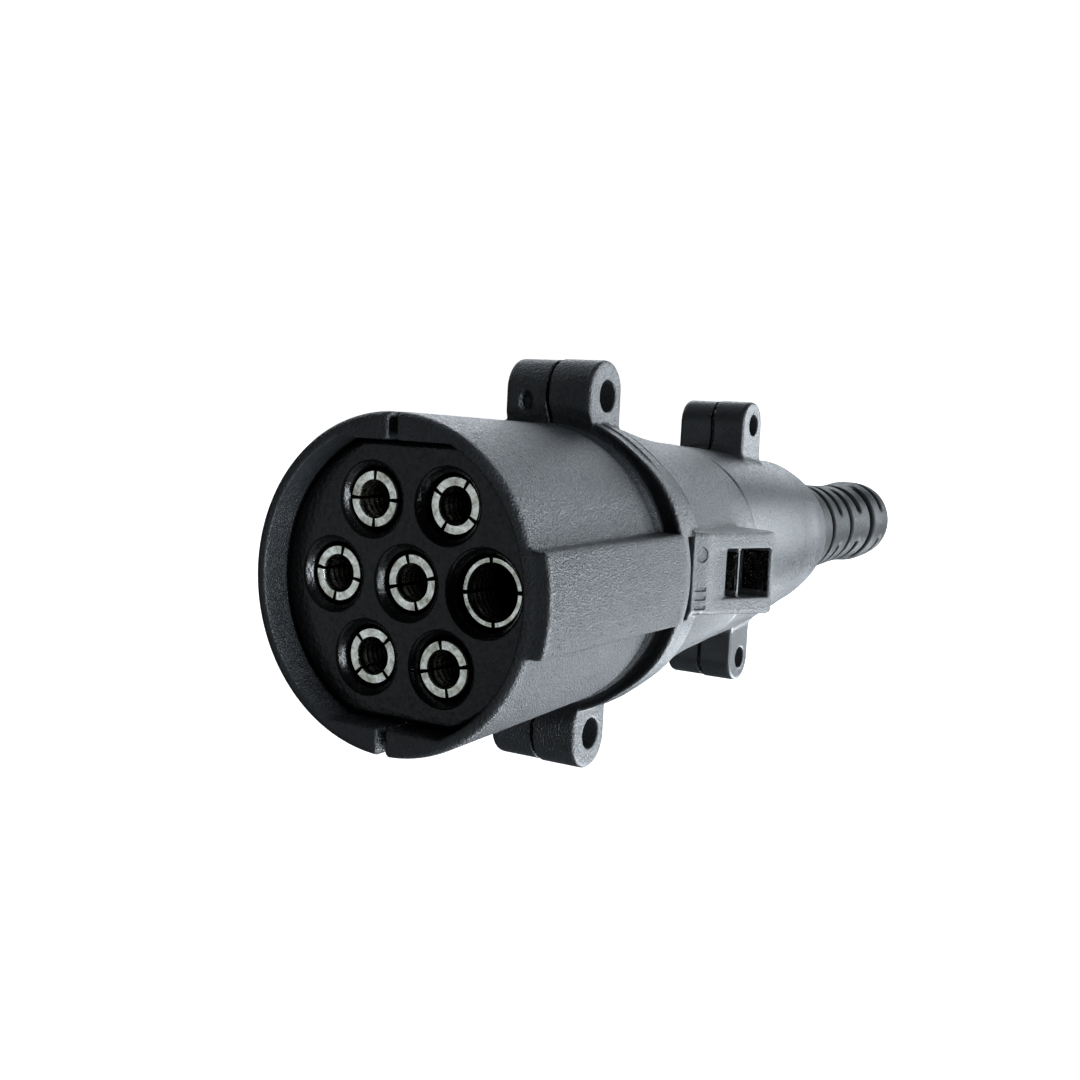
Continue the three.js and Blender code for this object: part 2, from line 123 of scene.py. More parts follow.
INSERT = {
    "front": 4.1, "flange_back": 7.9, "back": 23.8, "flange": 19.5, "flat": 17.9, "body": 17.6,
    "body_from": 7.0, "rib": 18.9, "rib_from": 14.0, "rib_to": 17.0,
}
PLATE = {"front": 24.1, "back": 27.2, "radius": 17.5}
PITCH_RADIUS = 11.9
SMALL = {"outer": 3.7, "inner": 2.5, "collar": 4.4, "barrel": 3.0, "wire": 1.9, "funnel": 4.9}
LARGE = {"outer": 4.45, "inner": 3.75, "collar": 5.15, "barrel": 3.8, "wire": 2.6, "funnel": 5.6}
CONTACTS = [
    {"name": "earth_contact", "angle": 0, "front": 6.0, "turn": 5, "size": LARGE},
    {"name": "upper_right_contact", "angle": 60, "front": 5.8, "turn": 60, "size": SMALL},
    {"name": "upper_left_contact", "angle": 120, "front": 4.7, "turn": 0, "size": SMALL},
    {"name": "left_contact", "angle": 180, "front": 5.3, "turn": -10, "size": SMALL},
    {"name": "lower_left_contact", "angle": 240, "front": 5.5, "turn": 45, "size": SMALL},
    {"name": "lower_right_contact", "angle": 300, "front": 4.7, "turn": 12, "size": SMALL},
    {"name": "centre_contact", "angle": None, "front": 5.4, "turn": 15, "size": SMALL},
]
SLEEVE_BORE_DEPTH = 17.5
SLOT_BACK = 15.5
COLLAR_FROM = 19.8
BARREL_END = 36.5
CENTRE_BARREL_END = 42.5
WIRE_HOLE_DEPTH = 2.0
TERMINAL_INSET = 2.9
TERMINAL_SCREW = {"radius": 1.3, "hole": 1.5, "over": 0.7, "slot_half": 0.25, "slot_depth": 0.6}
BORE_CLEARANCE = 0.5
FUNNEL_DEPTH = 1.05
SLOT_WIDTH = 0.6
FINGER_STEPS = 12       # faces round the finger between two slots
SHARP_ANGLE = 38        # degrees, on turned pieces

BOOT = [
    (126.0, 10.0), (127.6, 9.95), (132.0, 9.7), (139.0, 9.2), (146.0, 8.7), (154.0, 8.35), (160.0, 8.35),
    (165.0, 8.6), (168.5, 8.85), (172.0, 8.7), (178.0, 8.15),
]
BOOT_BORE = 5.6
BOOT_FROM = 127.3
BOOT_END = 177.0
BOOT_NECK = (9.3, 112.0, 129.0)
BOOT_FLANGE = (11.0, 110.3, 113.9)
BOOT_RINGS = {"first": 137.7, "pitch": 6.64, "count": 6, "width": 1.9, "depth": 1.3, "web": 3.2}

# The viewpoint solved from the rim, collar, lugs and key: place in mm, angles in degrees, focal length in
# pixels of a square frame this wide.
CAMERA = {
    "place": (105.384, -138.024, 23.998), "azimuth": 31.12, "pitch": 5.715, "roll": 2.761,
    "focal": 1400, "frame": 1080, "sensor": 36.0,
}

# Stage, metres. The floor curves up into a backdrop.
FLOOR = {"z": -0.0315, "front": -3.0, "back": 2.2, "side": 6.0, "top": 3.0, "bend": 0.8}
LIGHT_AIM = (0.0, 0.07, 0.0)
LIGHT_DISTANCE = 1.2
LIGHT_COLOUR = (0.87, 0.94, 1.0)
WORLD_STRENGTH = 0.025
LIGHTS = [
    {"name": "key", "azimuth": 48, "elevation": 8, "size": (1.0, 0.6), "power": 21},
    {"name": "back_fill", "azimuth": 112, "elevation": 27, "size": (0.9, 0.7), "power": 6},
    {"name": "low_fill", "azimuth": 48, "elevation": -38, "size": (1.2, 0.7), "power": 42},
    {"name": "front_strip", "azimuth": -12, "elevation": -4, "size": (0.24, 1.3), "power": 26},
    {"name": "ring_glint", "azimuth": -121, "elevation": -6, "size": (0.7, 0.6), "power": 1.0},
    {"name": "table_bounce", "azimuth": -60, "elevation": -66, "size": (1.2, 1.2), "power": 3.0},
    {"name": "far_side_fill", "azimuth": 165, "elevation": 40, "size": (1.0, 0.8), "power": 4},
]


# ---------------------------------------------------------------- camera and light

def set_camera():
    """Puts the camera at the solved viewpoint, looking along its azimuth, pitch and roll."""
    azimuth, pitch, roll = (math.radians(CAMERA[angle]) for angle in ("azimuth", "pitch", "roll"))
    place = np.array(CAMERA["place"]) * MM
    forward = np.array([
        -math.sin(azimuth) * math.cos(pitch), math.cos(azimuth) * math.cos(pitch), -math.sin(pitch),
    ])
    right = np.array([math.cos(azimuth), math.sin(azimuth), 0.0])
    up = np.cross(right, forward)
    c, s = math.cos(roll), math.sin(roll)
    right, up = c * right + s * up, -s * right + c * up
    data = bpy.data.cameras.new("photo_camera")
    data.sensor_width = CAMERA["sensor"]
    data.lens = CAMERA["sensor"] * CAMERA["focal"] / CAMERA["frame"]
    data.clip_start = 0.01
    camera = bpy.data.objects.new("photo_camera", data)
    bpy.context.scene.collection.objects.link(camera)
    turn = Matrix((right, up, -forward)).transposed()
    camera.matrix_world = Matrix.Translation(place) @ turn.to_4x4()
    bpy.context.scene.camera = camera


def area_light(name, azimuth, elevation, size, power):
    """A soft box at LIGHT_DISTANCE from the plug, turned towards it; azimuth counts from +X to +Y."""
    around, above = math.radians(azimuth), math.radians(elevation)
    away = Vector((math.cos(around) * math.cos(above), math.sin(around) * math.cos(above), math.sin(above)))
    data = bpy.data.lights.new(name, "AREA")
    data.shape = "RECTANGLE"
    data.size, data.size_y = size
    data.energy = power
    data.color = LIGHT_COLOUR
    lamp = bpy.data.objects.new(name, data)
    bpy.context.scene.collection.objects.link(lamp)
    place = Vector(LIGHT_AIM) + LIGHT_DISTANCE * away
    lamp.matrix_world = Matrix.Translation(place) @ away.to_track_quat("Z", "Y").to_matrix().to_4x4()


def set_stage():
    """A pale floor that shows white by its own light, the studio's world and the lights."""
    outline = [(FLOOR["front"], FLOOR["z"])]
    bend = FLOOR["bend"]
    for i in range(13):
        t = math.pi / 2 * i / 12
        outline.append((FLOOR["back"] - bend + bend * math.sin(t), FLOOR["z"] + bend * (1 - math.cos(t))))
    outline.append((FLOOR["back"], FLOOR["top"]))
    points = [(x, y, z) for y, z in outline for x in (-FLOOR["side"], FLOOR["side"])]
    faces = [(2 * i, 2 * i + 1, 2 * i + 3, 2 * i + 2) for i in range(len(outline) - 1)]
    mesh = bpy.data.meshes.new("floor")
    mesh.from_pydata(points, [], faces)
    mesh.polygons.foreach_set("use_smooth", [True] * len(faces))
    floor = bpy.data.objects.new("floor", mesh)
    bpy.context.scene.collection.objects.link(floor)
    material = bpy.data.materials.new("floor_white")
    material.use_nodes = True
    shader = material.node_tree.nodes["Principled BSDF"]
    shader.inputs["Base Color"].default_value = (0.5, 0.5, 0.5, 1)
    shader.inputs["Roughness"].default_value = 0.9
    shader.inputs["Emission Color"].default_value = (1, 1, 1, 1)
    shader.inputs["Emission Strength"].default_value = 1.0
    mesh.materials.append(material)
    floor.visible_diffuse = False
    floor.visible_glossy = False
    floor.visible_shadow = False

    world = bpy.data.worlds.new("studio")
    world.use_nodes = True
    world.node_tree.nodes["Background"].inputs["Color"].default_value = (0.8, 0.88, 1.0, 1)
    world.node_tree.nodes["Background"].inputs["Strength"].default_value = WORLD_STRENGTH
    bpy.context.scene.world = world
    bpy.context.scene.view_settings.view_transform = "Standard"
    for light in LIGHTS:
        area_light(**light)


# ---------------------------------------------------------------- distance fields

def smooth_max(a, b, k):
    """The shape inside both fields, with the edge rounded over k."""
    h = np.maximum(k - np.abs(a - b), 0.0) / k
    return np.maximum(a, b) + h * h * k * 0.25


def smooth_min(a, b, k):
    """The shape inside either field, with the corner filled over k."""
    return -smooth_max(-a, -b, k)


def slab(v, low, high):
    """Between two planes."""
    return np.abs(v - (low + high) / 2) - (high - low) / 2


def disc(r, y, radius, low, high, k=0.3):
    """A disc or cylinder about the Y axis, its edges rounded over k."""
    return smooth_max(r - radius, slab(y, low, high), k)


def curve_table(points, step=0.25):
    """Samples of a smooth curve through (y, radius) points, by cubic Hermite pieces."""
    y = np.array([p[0] for p in points])
    v = np.array([p[1] for p in points])
    slope = np.gradient(v, y)
    out_y = np.arange(y[0], y[-1], step)
    i = np.clip(np.searchsorted(y, out_y, side="right") - 1, 0, len(y) - 2)
    h = y[i + 1] - y[i]
    t = (out_y - y[i]) / h
    out_v = (
        (2 * t**3 - 3 * t**2 + 1) * v[i] + (t**3 - 2 * t**2 + t) * h * slope[i]
        + (-2 * t**3 + 3 * t**2) * v[i + 1] + (t**3 - t**2) * h * slope[i + 1]
    )
    return out_y, out_v


TAIL_CURVE = curve_table(TAIL)
CHAMBER_CURVE = curve_table(CHAMBER)
BOOT_CURVE = curve_table(BOOT)


def along_x(y, z, at_y, at_z):
    """Distance from a line that runs along X."""
    return np.hypot(y - at_y, z - at_z)


def plane(u, v, at, normal):
    """Distance in front of a plane, from a point on it and its normal in two coordinates."""
    length = math.hypot(*normal)
    return ((u - at[0]) * normal[0] + (v - at[1]) * normal[1]) / length


def lug_field(lug, x, y, z):
    """A round-topped screw lug, slightly smaller on the left half."""
    height = lug["side"] * z
    half = lug["half"] - np.where(x < 0, LUG_MISMATCH, 0.0)
    outline = np.hypot(y - lug["y"], np.maximum(height - lug["z"], 0.0)) - half
    block = smooth_max(outline, np.abs(x) - lug["reach"], 0.7)
    return np.maximum(block, LUG_FOOT - height)


def catch_frame(y, z):
    """Height along the block's own middle line, which leans down towards the cable."""
    return z + CATCH["lean"] * (y - CATCH["pivot"])


def catch_field(x, y, z):
    """The raised block of the lid catch, with the sloped panel at its front."""
    c = CATCH
    across = np.abs(catch_frame(y, z)) - c["half"] - c["widen"] * (y - c["widen_from"])
    block = smooth_max(panel_distance(x, y), x - c["top_x"], 0.5)
    block = smooth_max(block, c["foot"] - y, 0.2)
    block = smooth_max(block, y - c["rear"] + c["rear_draft"] * (x - c["top_x"]), 0.5)
    block = smooth_max(block, across + c["draft"] * (x - c["top_x"]), 0.8)
    return np.maximum(block, c["root_x"] - x)


def panel_distance(x, y):
    """Distance in front of the sloped panel."""
    c = CATCH
    return plane(x, y, (c["foot_x"], c["foot"]), (c["top"] - c["foot"], c["foot_x"] - c["top_x"]))


def mark_field(x, y, z):
    """A plain round dot and three bars, sunk in the sloped panel."""
    c, m = CATCH, MARK
    rise, run = c["top_x"] - c["foot_x"], c["top"] - c["foot"]
    along = ((y - c["foot"]) * run + (x - c["foot_x"]) * rise) / math.hypot(rise, run)
    middle, radius = (m["from"] + m["to"]) / 2.0, (m["to"] - m["from"]) / 2.0
    shape = np.hypot(along - middle, z - m["dot"]) - radius
    length = slab(along, m["from"], m["to"])
    for bar in m["bars"]:
        shape = np.minimum(shape, np.maximum(np.abs(z - bar) - m["bar_half"], length))
    return np.maximum(shape, -m["depth"] - panel_distance(x, y))


def pocket_field(x, y, z):
    """A face that rolls down behind the marked panel, a thin rib, and the deep hollow for the lid's hook."""
    p = POCKET
    sides = np.abs(catch_frame(y, z)) - p["half"] - 0.5 * CATCH["widen"] * (y - CATCH["widen_from"])
    roll = p["roll"] - np.hypot(x - CATCH["top_x"] + p["roll"], y - p["from"])
    trough = np.maximum(roll, slab(y, p["from"], p["rib"][0]))
    trough = smooth_max(trough, p["deep"] - x, 0.4)
    deep = smooth_max(slab(y, p["rib"][1], p["to"]), p["deep"] - x, 0.4)
    above_rib = np.maximum(slab(y, p["rib"][0] - 1.0, p["rib"][1] + 1.0), p["rib_x"] - x)
    hollow = smooth_min(np.minimum(trough, above_rib), deep, 0.9)
    return smooth_max(hollow, sides, 0.5)


def ripple(y, at, width):
    """A soft bump of height 1."""
    return np.exp(-((y - at) / width) ** 2)


def barrel_field(x, y, z):
    """The tapered barrel, with a fine groove and a bead in front of the collar, and the key on +X."""
    r = np.hypot(x, z)
    groove, bead = BARREL_GROOVE, BARREL_BEAD
    radius = BARREL_MOUTH - BARREL_DRAFT * y
    radius = radius - groove["depth"] * ripple(y, groove["y"], groove["width"])
    radius = radius + bead["height"] * ripple(y, bead["y"], bead["width"])
    barrel = smooth_max(r - radius, -y, 1.1)
    barrel = smooth_max(barrel, y - BARREL_BACK - 1.0, 0.3)
    key = smooth_max(np.abs(z) - KEY["half"], r - KEY["radius"], 0.8)
    key = smooth_max(key, slab(y, KEY["from"], KEY["to"]), 0.6)
    return smooth_min(barrel, np.maximum(key, KEY["from_x"] - x), 0.5)


def flange_radius(x):
    """The collar is round at its sides and flatter at the top and bottom."""
    side = np.clip((np.abs(x) - FLANGE_FLAT["from_x"]) / FLANGE_FLAT["over"], 0, 1)
    return FLANGE["radius"] - FLANGE["drop"] * (1 - side * side * (3 - 2 * side))


def dish_distance(x, y, z):
    """Distance in front of the collar's dished face."""
    d = FLANGE_DISH
    return plane(np.hypot(x, z), y, (d["r"], d["y"]), (d["rim_y"] - d["y"], d["r"] - d["rim_r"]))


def collar_field(x, y, z):
    """The dished collar and the step behind it, which falls away towards the tail."""
    r, edge = np.hypot(x, z), flange_radius(x)
    flange = disc(r, y, edge, FLANGE["from"], FLANGE["to"], 0.9)
    flange = smooth_max(flange, dish_distance(x, y, z), 0.5)
    step_radius = edge - STEP["inset"] - STEP["fall"] * np.maximum(y - STEP["line"], 0.0)
    step = disc(r, y, step_radius, FLANGE["to"] - 1.5, STEP["to"], 0.4)
    return np.minimum(flange, smooth_max(step, x - STEP["flat"], 0.4))


def tail_field(x, y, z):
    """The tapered tail with its ring line and the rear lugs, and two soft waves along its top."""
    ring, waves = TAIL_STEP, TAIL_WAVES
    radius = np.interp(y, *TAIL_CURVE)
    radius = radius - ring["depth"] * np.clip((y - ring["y"]) / ring["over"] + 0.5, 0, 1)
    radius = radius - ring["line"] * ripple(y, ring["y"], ring["line_width"])
    wave = sum(height * ripple(y, at, waves["spread_y"]) for at, height in waves["heights"])
    radius = radius + np.where(z > 0, wave * ripple(x, 0.0, waves["spread_x"]), 0.0)
    tail = smooth_max(np.hypot(x, z) - radius, y - NOSE_END, 1.2)
    tail = np.maximum(tail, TAIL_FROM - y)
    for lug in LUGS[2:]:
        tail = smooth_min(tail, lug_field(lug, x, y, z), 1.6)
    return tail


def shell_outside(x, y, z):
    """Both halves from outside: barrel, collar, tail, catch and lugs."""
    body = smooth_min(collar_field(x, y, z), tail_field(x, y, z), 0.6)
    line = np.hypot(np.hypot(x, z) - flange_radius(x) + STEP["inset"] - 0.1, y - STEP["line"])
    body = smooth_max(body, STEP["line_width"] / 2 - line, 0.3)
    body = smooth_min(body, catch_field(x, y, z), 0.6)
    dish = dish_distance(x, y, z)
    for lug in LUGS[:2]:
        body = smooth_min(body, smooth_max(lug_field(lug, x, y, z), dish, 0.3), 0.35)
    return smooth_min(barrel_field(x, y, z), body, 0.2)


def cavity(x, y, z):
    """The room inside both halves."""
    r = np.hypot(x, z)
    mouth = smooth_max(r - MOUTH["radius"], np.abs(z) - MOUTH["flat"], 0.3)
    hollow = np.maximum(mouth, slab(y, -3.0, MOUTH["depth"]))
    for radius, low, high in ROOMS:
        hollow = np.minimum(hollow, disc(r, y, radius, low, high, 0.2))
    chamber = np.maximum(r - np.interp(y, *CHAMBER_CURVE), slab(y, CHAMBER[0][0], CHAMBER[-1][0]))
    return np.minimum(hollow, chamber)


def shell_half(side):
    """Field of one half shell: side 1 is the key side, -1 the other."""
    def field(x, y, z):
        body = smooth_max(shell_outside(x, y, z), -cavity(x, y, z), 0.35)
        if side > 0:
            body = smooth_max(body, -pocket_field(x, y, z), 0.5)
            body = smooth_max(body, -mark_field(x, y, z), 0.1)
            behind_flange = slab(y, FLANGE["to"], CATCH["foot"] - DITCH["margin"])
            ditch = np.maximum(behind_flange, np.abs(z) - CATCH["half"])
            body = smooth_max(body, -np.maximum(ditch, DITCH["floor"] - x), 0.2)
            body = smooth_min(body, clamp_seat(x, y, z), 0.5)
        for lug in LUGS:
            hole = along_x(y, z, lug["hole_y"], lug["side"] * lug["hole_z"])
            body = smooth_max(body, SCREW_SHANK + 0.3 - hole, 0.3)
            if side > 0:
                sink = np.maximum(hole - lug["hole"], PILOT_DEPTH - x)
            else:
                sink = np.maximum(hole - SCREW_WELL, x - SCREW_SEAT)
            body = smooth_max(body, -sink, 0.4)
        if side < 0:
            (at_x, at_y, at_z), (half_x, half_y, half_z) = DIMPLE["at"], DIMPLE["radii"]
            reach = ((x - at_x) / half_x) ** 2 + ((z - at_z) / half_z) ** 2 + ((y - at_y) / half_y) ** 2
            body = smooth_max(body, 1 - np.sqrt(reach), 0.5)
        split = np.maximum(np.abs(x) - RIM_SPLIT["half"], y - RIM_SPLIT["to"])
        split = np.maximum(split, RIM_SPLIT["from_z"] - np.abs(z))
        body = smooth_max(body, -split, 0.5)
        (near_y, near_gap), (far_y, far_gap) = SEAM
        gap = np.interp(y, (near_y, far_y), (near_gap, far_gap))
        return smooth_max(body, gap - side * x, 0.12)
    return field


def clamp_seat(x, y, z):
    """The block in the rear chamber that the cable clamp's bar is screwed to."""
    c, screw = CLAMP, CLAMP_SCREW
    r = np.hypot(x, z)
    block = smooth_max(slab(y, c["from"], c["to"]), np.abs(z) - c["half"], 0.6)
    block = np.maximum(block, r - c["seat_radius"])
    block = smooth_max(block, c["seat_top"] - x, 0.5)
    block = smooth_max(block, c["bore"] - r, 0.4)
    for screw_z in (-screw["z"], screw["z"]):
        hole = np.maximum(along_x(y, z, screw["y"], screw_z) - screw["hole"], x - screw["hole_end"])
        block = smooth_max(block, -hole, 0.3)
    return block


def place_of(contact):
    """A contact's place across the plug and its outward direction, which is +Z for the centre one."""
    if contact["angle"] is None:
        return 0.0, 0.0, 0.0, 1.0
    a = math.radians(contact["angle"])
    return PITCH_RADIUS * math.cos(a), PITCH_RADIUS * math.sin(a), math.cos(a), math.sin(a)


def insert_field(x, y, z):
    """The contact carrier: a flatted flange, a ribbed body and seven funnelled, stepped bores."""
    r = np.hypot(x, z)
    flange = smooth_max(r - INSERT["flange"], np.abs(z) - INSERT["flat"], 0.3)
    flange = smooth_max(flange, slab(y, INSERT["front"], INSERT["flange_back"]), 0.7)
    body = disc(r, y, INSERT["body"], INSERT["body_from"], INSERT["back"])
    body = np.minimum(body, disc(r, y, INSERT["rib"], INSERT["rib_from"], INSERT["rib_to"]))
    body = smooth_min(body, flange, 0.2)
    for contact in CONTACTS:
        cx, cz, _, _ = place_of(contact)
        size = contact["size"]
        local = np.hypot(x - cx, z - cz)
        bore = size["outer"] + BORE_CLEARANCE
        mouth = bore + (size["funnel"] - bore) * np.clip(1 - (y - INSERT["front"]) / FUNNEL_DEPTH, 0, 1)
        body = smooth_max(body, mouth - local, 0.3)
        collar = np.maximum(local - size["collar"] - 0.3, COLLAR_FROM - 0.3 - y)
        body = smooth_max(body, -collar, 0.3)
    return body


def plate_field(x, y, z):
    """The plate behind the insert, with a hole for each contact."""
    body = disc(np.hypot(x, z), y, PLATE["radius"], PLATE["front"], PLATE["back"], 0.6)
    for contact in CONTACTS:
        cx, cz, _, _ = place_of(contact)
        hole = np.hypot(x - cx, z - cz) - contact["size"]["barrel"] - 0.3
        body = smooth_max(body, -hole, 0.5)
    return body


def boot_field(x, y, z):
    """The rubber boot: neck and flange in the shells, then six staggered rings of slots."""
    r = np.hypot(x, z)
    skin = smooth_max(r - np.interp(y, *BOOT_CURVE), slab(y, BOOT_FROM, BOOT_END), 1.6)
    neck = disc(r, y, *BOOT_NECK, 0.3)
    flange = disc(r, y, *BOOT_FLANGE, 0.6)
    body = smooth_min(np.minimum(flange, neck), skin, 0.3)
    rings = BOOT_RINGS
    for i in range(rings["count"]):
        middle = rings["first"] + i * rings["pitch"]
        floor = float(np.interp(middle, *BOOT_CURVE)) - rings["depth"]
        across = np.abs(x) if i % 2 == 0 else np.abs(z)
        ring = smooth_max(np.abs(y - middle) - rings["width"] / 2, floor - r, 0.9)
        ring = smooth_max(ring, rings["web"] - across, 1.0)
        body = smooth_max(body, -ring, 0.9)
    return smooth_max(body, BOOT_BORE - r, 1.0)


def clamp_bar_field(x, y, z):
    """The bar that presses the cable onto its seat."""
    screw = CLAMP_SCREW
    block = smooth_max(slab(x, *CLAMP_BAR), slab(y, CLAMP["from"], CLAMP["to"]), 0.8)
    block = smooth_max(block, np.abs(z) - CLAMP["half"], 0.8)
    block = smooth_max(block, CLAMP["bore"] - np.hypot(x, z), 0.5)
    for screw_z in (-screw["z"], screw["z"]):
        block = smooth_max(block, screw["hole"] - along_x(y, z, screw["y"], screw_z), 0.4)
    return block


def cross_slot(x, across, up, top):
    """A cross recess in a head whose outer face is at x = top and faces -X."""
    half, reach = SCREW_CROSS["half"], SCREW_CROSS["reach"]
    arm = np.minimum(
        np.maximum(np.abs(across) - half, np.abs(up) - reach),
        np.maximum(np.abs(up) - half, np.abs(across) - reach),
    )
    return np.maximum(arm, x - top - SCREW_CROSS["depth"])


def body_screw_field(lug):
    """A threaded screw with a domed cross-slotted head, seated in the left half."""
    head_size, thread = SCREW_HEAD, SCREW_THREAD
    seat = SCREW_SEAT - head_size["gap"]
    top = seat - head_size["height"]

    def field(x, y, z):
        across, up = y - lug["hole_y"], z - lug["side"] * lug["hole_z"]
        r = np.hypot(across, up)
        dome = np.sqrt(r**2 + (x - (top + head_size["dome"])) ** 2) - head_size["dome"]
        head = smooth_max(smooth_max(slab(x, top, seat), r - head_size["radius"], 0.6), dome, 0.4)
        head = smooth_max(head, -cross_slot(x, across, up, top), 0.2)
        turn = np.arctan2(up, across) / (2 * math.pi)
        ridge = np.abs(((x / thread["pitch"] - turn) % 1.0) - 0.5) * 2
        crest = thread["root"] + thread["height"] * ridge
        shank = smooth_max(r - crest, slab(x, seat - 0.5, thread["to"]), 0.3)
        point = r - SCREW_SHANK + np.maximum(x - thread["point_from"], 0) * thread["point_slope"]
        return smooth_min(head, np.maximum(shank, point), 0.3)
    return field


def clamp_screw_field(screw_z):
    """A slotted screw that holds the clamp's bar."""
    screw = CLAMP_SCREW
    seat = screw["seat"]
    top = seat - screw["height"]

    def field(x, y, z):
        across, up = y - screw["y"], z - screw_z
        r = np.hypot(across, up)
        head = smooth_max(slab(x, top, seat), r - screw["head"], 0.5)
        slot = np.maximum(np.abs(up) - screw["slot_half"], x - top - screw["slot_depth"])
        head = smooth_max(head, -slot, 0.2)
        shank = smooth_max(r - screw["shank"], slab(x, seat - 0.5, screw["end"]), 0.3)
        return smooth_min(head, shank, 0.2)
    return field


def barrel_end(contact):
    """The centre contact reaches further back, so that its screw can be got at."""
    return CENTRE_BARREL_END if contact["angle"] is None else BARREL_END


def terminal_screw_field(contact):
    """A slotted set screw in the outer wall of a contact's barrel."""
    cx, cz, ox, oz = place_of(contact)
    screw = TERMINAL_SCREW
    at_y = barrel_end(contact) - TERMINAL_INSET
    low = contact["size"]["wire"] - screw["over"]
    high = contact["size"]["barrel"] + screw["over"]

    def field(x, y, z):
        out = (x - cx) * ox + (z - cz) * oz
        side = -(x - cx) * oz + (z - cz) * ox
        r = np.hypot(side, y - at_y)
        body = smooth_max(slab(out, low, high), r - screw["radius"], 0.4)
        slot = np.maximum(np.abs(side) - screw["slot_half"], high - screw["slot_depth"] - out)
        return smooth_max(body, -slot, 0.15)
    return field


# ---------------------------------------------------------------- meshing

def surface_net(field, low, high, step):
    """Vertices and quads of the zero surface of field inside the box, one vertex per crossed cell."""
    axes = [np.arange(a, b + step, step) for a, b in zip(low, high)]
    n = [len(a) for a in axes]
    x, y, z = np.meshgrid(*axes, indexing="ij", sparse=True)
    shape = np.broadcast_shapes(x.shape, y.shape, z.shape)
    value = np.broadcast_to(field(x, y, z), shape)
    inside = value < 0
    cells = (n[0] - 1, n[1] - 1, n[2] - 1)
    total = np.zeros((cells[0] * cells[1] * cells[2], 3))
    count = np.zeros(cells[0] * cells[1] * cells[2])
    quads = []
    for axis in range(3):
        first = [slice(None)] * 3
        second = [slice(None)] * 3
        first[axis], second[axis] = slice(None, -1), slice(1, None)
        a, b = value[tuple(first)], value[tuple(second)]
        cross = np.argwhere(inside[tuple(first)] != inside[tuple(second)])
        u, v = (axis + 1) % 3, (axis + 2) % 3
        keep = (cross[:, u] > 0) & (cross[:, u] < n[u] - 1) & (cross[:, v] > 0) & (cross[:, v] < n[v] - 1)
        cross = cross[keep]
        va = a[tuple(cross.T)]
        vb = b[tuple(cross.T)]
        point = np.stack([axes[k][cross[:, k]] for k in range(3)], axis=1)
        point[:, axis] += step * va / (va - vb)
        ids = []
        for du, dv in ((0, 0), (-1, 0), (-1, -1), (0, -1)):
            cell = cross.copy()
            cell[:, u] += du
            cell[:, v] += dv
            flat = (cell[:, 0] * cells[1] + cell[:, 1]) * cells[2] + cell[:, 2]
            ids.append(flat)
            for k in range(3):
                total[:, k] += np.bincount(flat, weights=point[:, k], minlength=len(total))
            count += np.bincount(flat, minlength=len(count))
        quad = np.stack(ids, axis=1)
        flip = va > 0
        quad[flip] = quad[flip][:, ::-1]
        quads.append(quad)
    used = np.flatnonzero(count)
    index = np.full(len(count), -1)
    index[used] = np.arange(len(used))
    return total[used] / count[used, None], index[np.concatenate(quads)]


def gradient(field, p, h=0.02):
    """Slope of the field by central differences."""
    out = np.empty_like(p)
    for k in range(3):
        ahead, behind = p.copy(), p.copy()
        ahead[:, k] += h
        behind[:, k] -= h
        out[:, k] = (field(*ahead.T) - field(*behind.T)) / (2 * h)
    return out


def refine(mesh, low, high):
    """Splits the faces whose middle lies in the box in four."""
    middle = np.empty(3 * len(mesh.polygons))
    mesh.polygons.foreach_get("center", middle)
    middle = middle.reshape(-1, 3) / MM
    chosen = np.flatnonzero(((middle > low) & (middle < high)).all(axis=1))
    bm = bmesh.new()
    bm.from_mesh(mesh)
    bm.faces.ensure_lookup_table()
    edges = {edge for index in chosen for edge in bm.faces[index].edges}
    bmesh.ops.subdivide_edges(bm, edges=list(edges), cuts=1, use_grid_fill=True)
    bm.to_mesh(mesh)
    bm.free()


def settle(mesh, field, step, rounds):
    """Moves the vertices onto the zero surface and returns their places in mm."""
    points = np.empty(3 * len(mesh.vertices))
    mesh.vertices.foreach_get("co", points)
    points = points.reshape(-1, 3) / MM
    for _ in range(rounds):
        slope = gradient(field, points)
        length = np.maximum((slope**2).sum(axis=1), 0.25)
        move = -(field(*points.T) / length)[:, None] * slope
        points += np.clip(move, -0.4 * step, 0.4 * step)
    mesh.vertices.foreach_set("co", (points * MM).astype(np.float32).ravel())
    mesh.update()
    return points


def field_mesh(name, field, low, high, step, fine=()):
    """A smooth piece whose vertices lie on the field's surface; fine lists boxes where faces are split."""
    points, quads = surface_net(field, low, high, step)
    mesh = bpy.data.meshes.new(name)
    mesh.vertices.add(len(points))
    mesh.vertices.foreach_set("co", (points * MM).astype(np.float32).ravel())
    mesh.loops.add(quads.size)
    mesh.loops.foreach_set("vertex_index", quads.astype(np.int32).ravel())
    mesh.polygons.add(len(quads))
    mesh.polygons.foreach_set("loop_start", np.arange(0, quads.size, 4, dtype=np.int32))
    mesh.update(calc_edges=True)
    mesh.validate()
    if fine:
        settle(mesh, field, step, 2)
        for box_low, box_high in fine:
            refine(mesh, box_low, box_high)
    points = settle(mesh, field, step, 4)
    normals = gradient(field, points)
    normals /= np.maximum(np.linalg.norm(normals, axis=1), 1e-9)[:, None]
    mesh.polygons.foreach_set("use_smooth", np.ones(len(mesh.polygons), dtype=bool))
    mesh.normals_split_custom_set_from_vertices(normals.tolist())
    return add_object(name, mesh)


def add_object(name, mesh):
    piece = bpy.data.objects.new(name, mesh)
    bpy.context.scene.collection.objects.link(piece)
    return piece


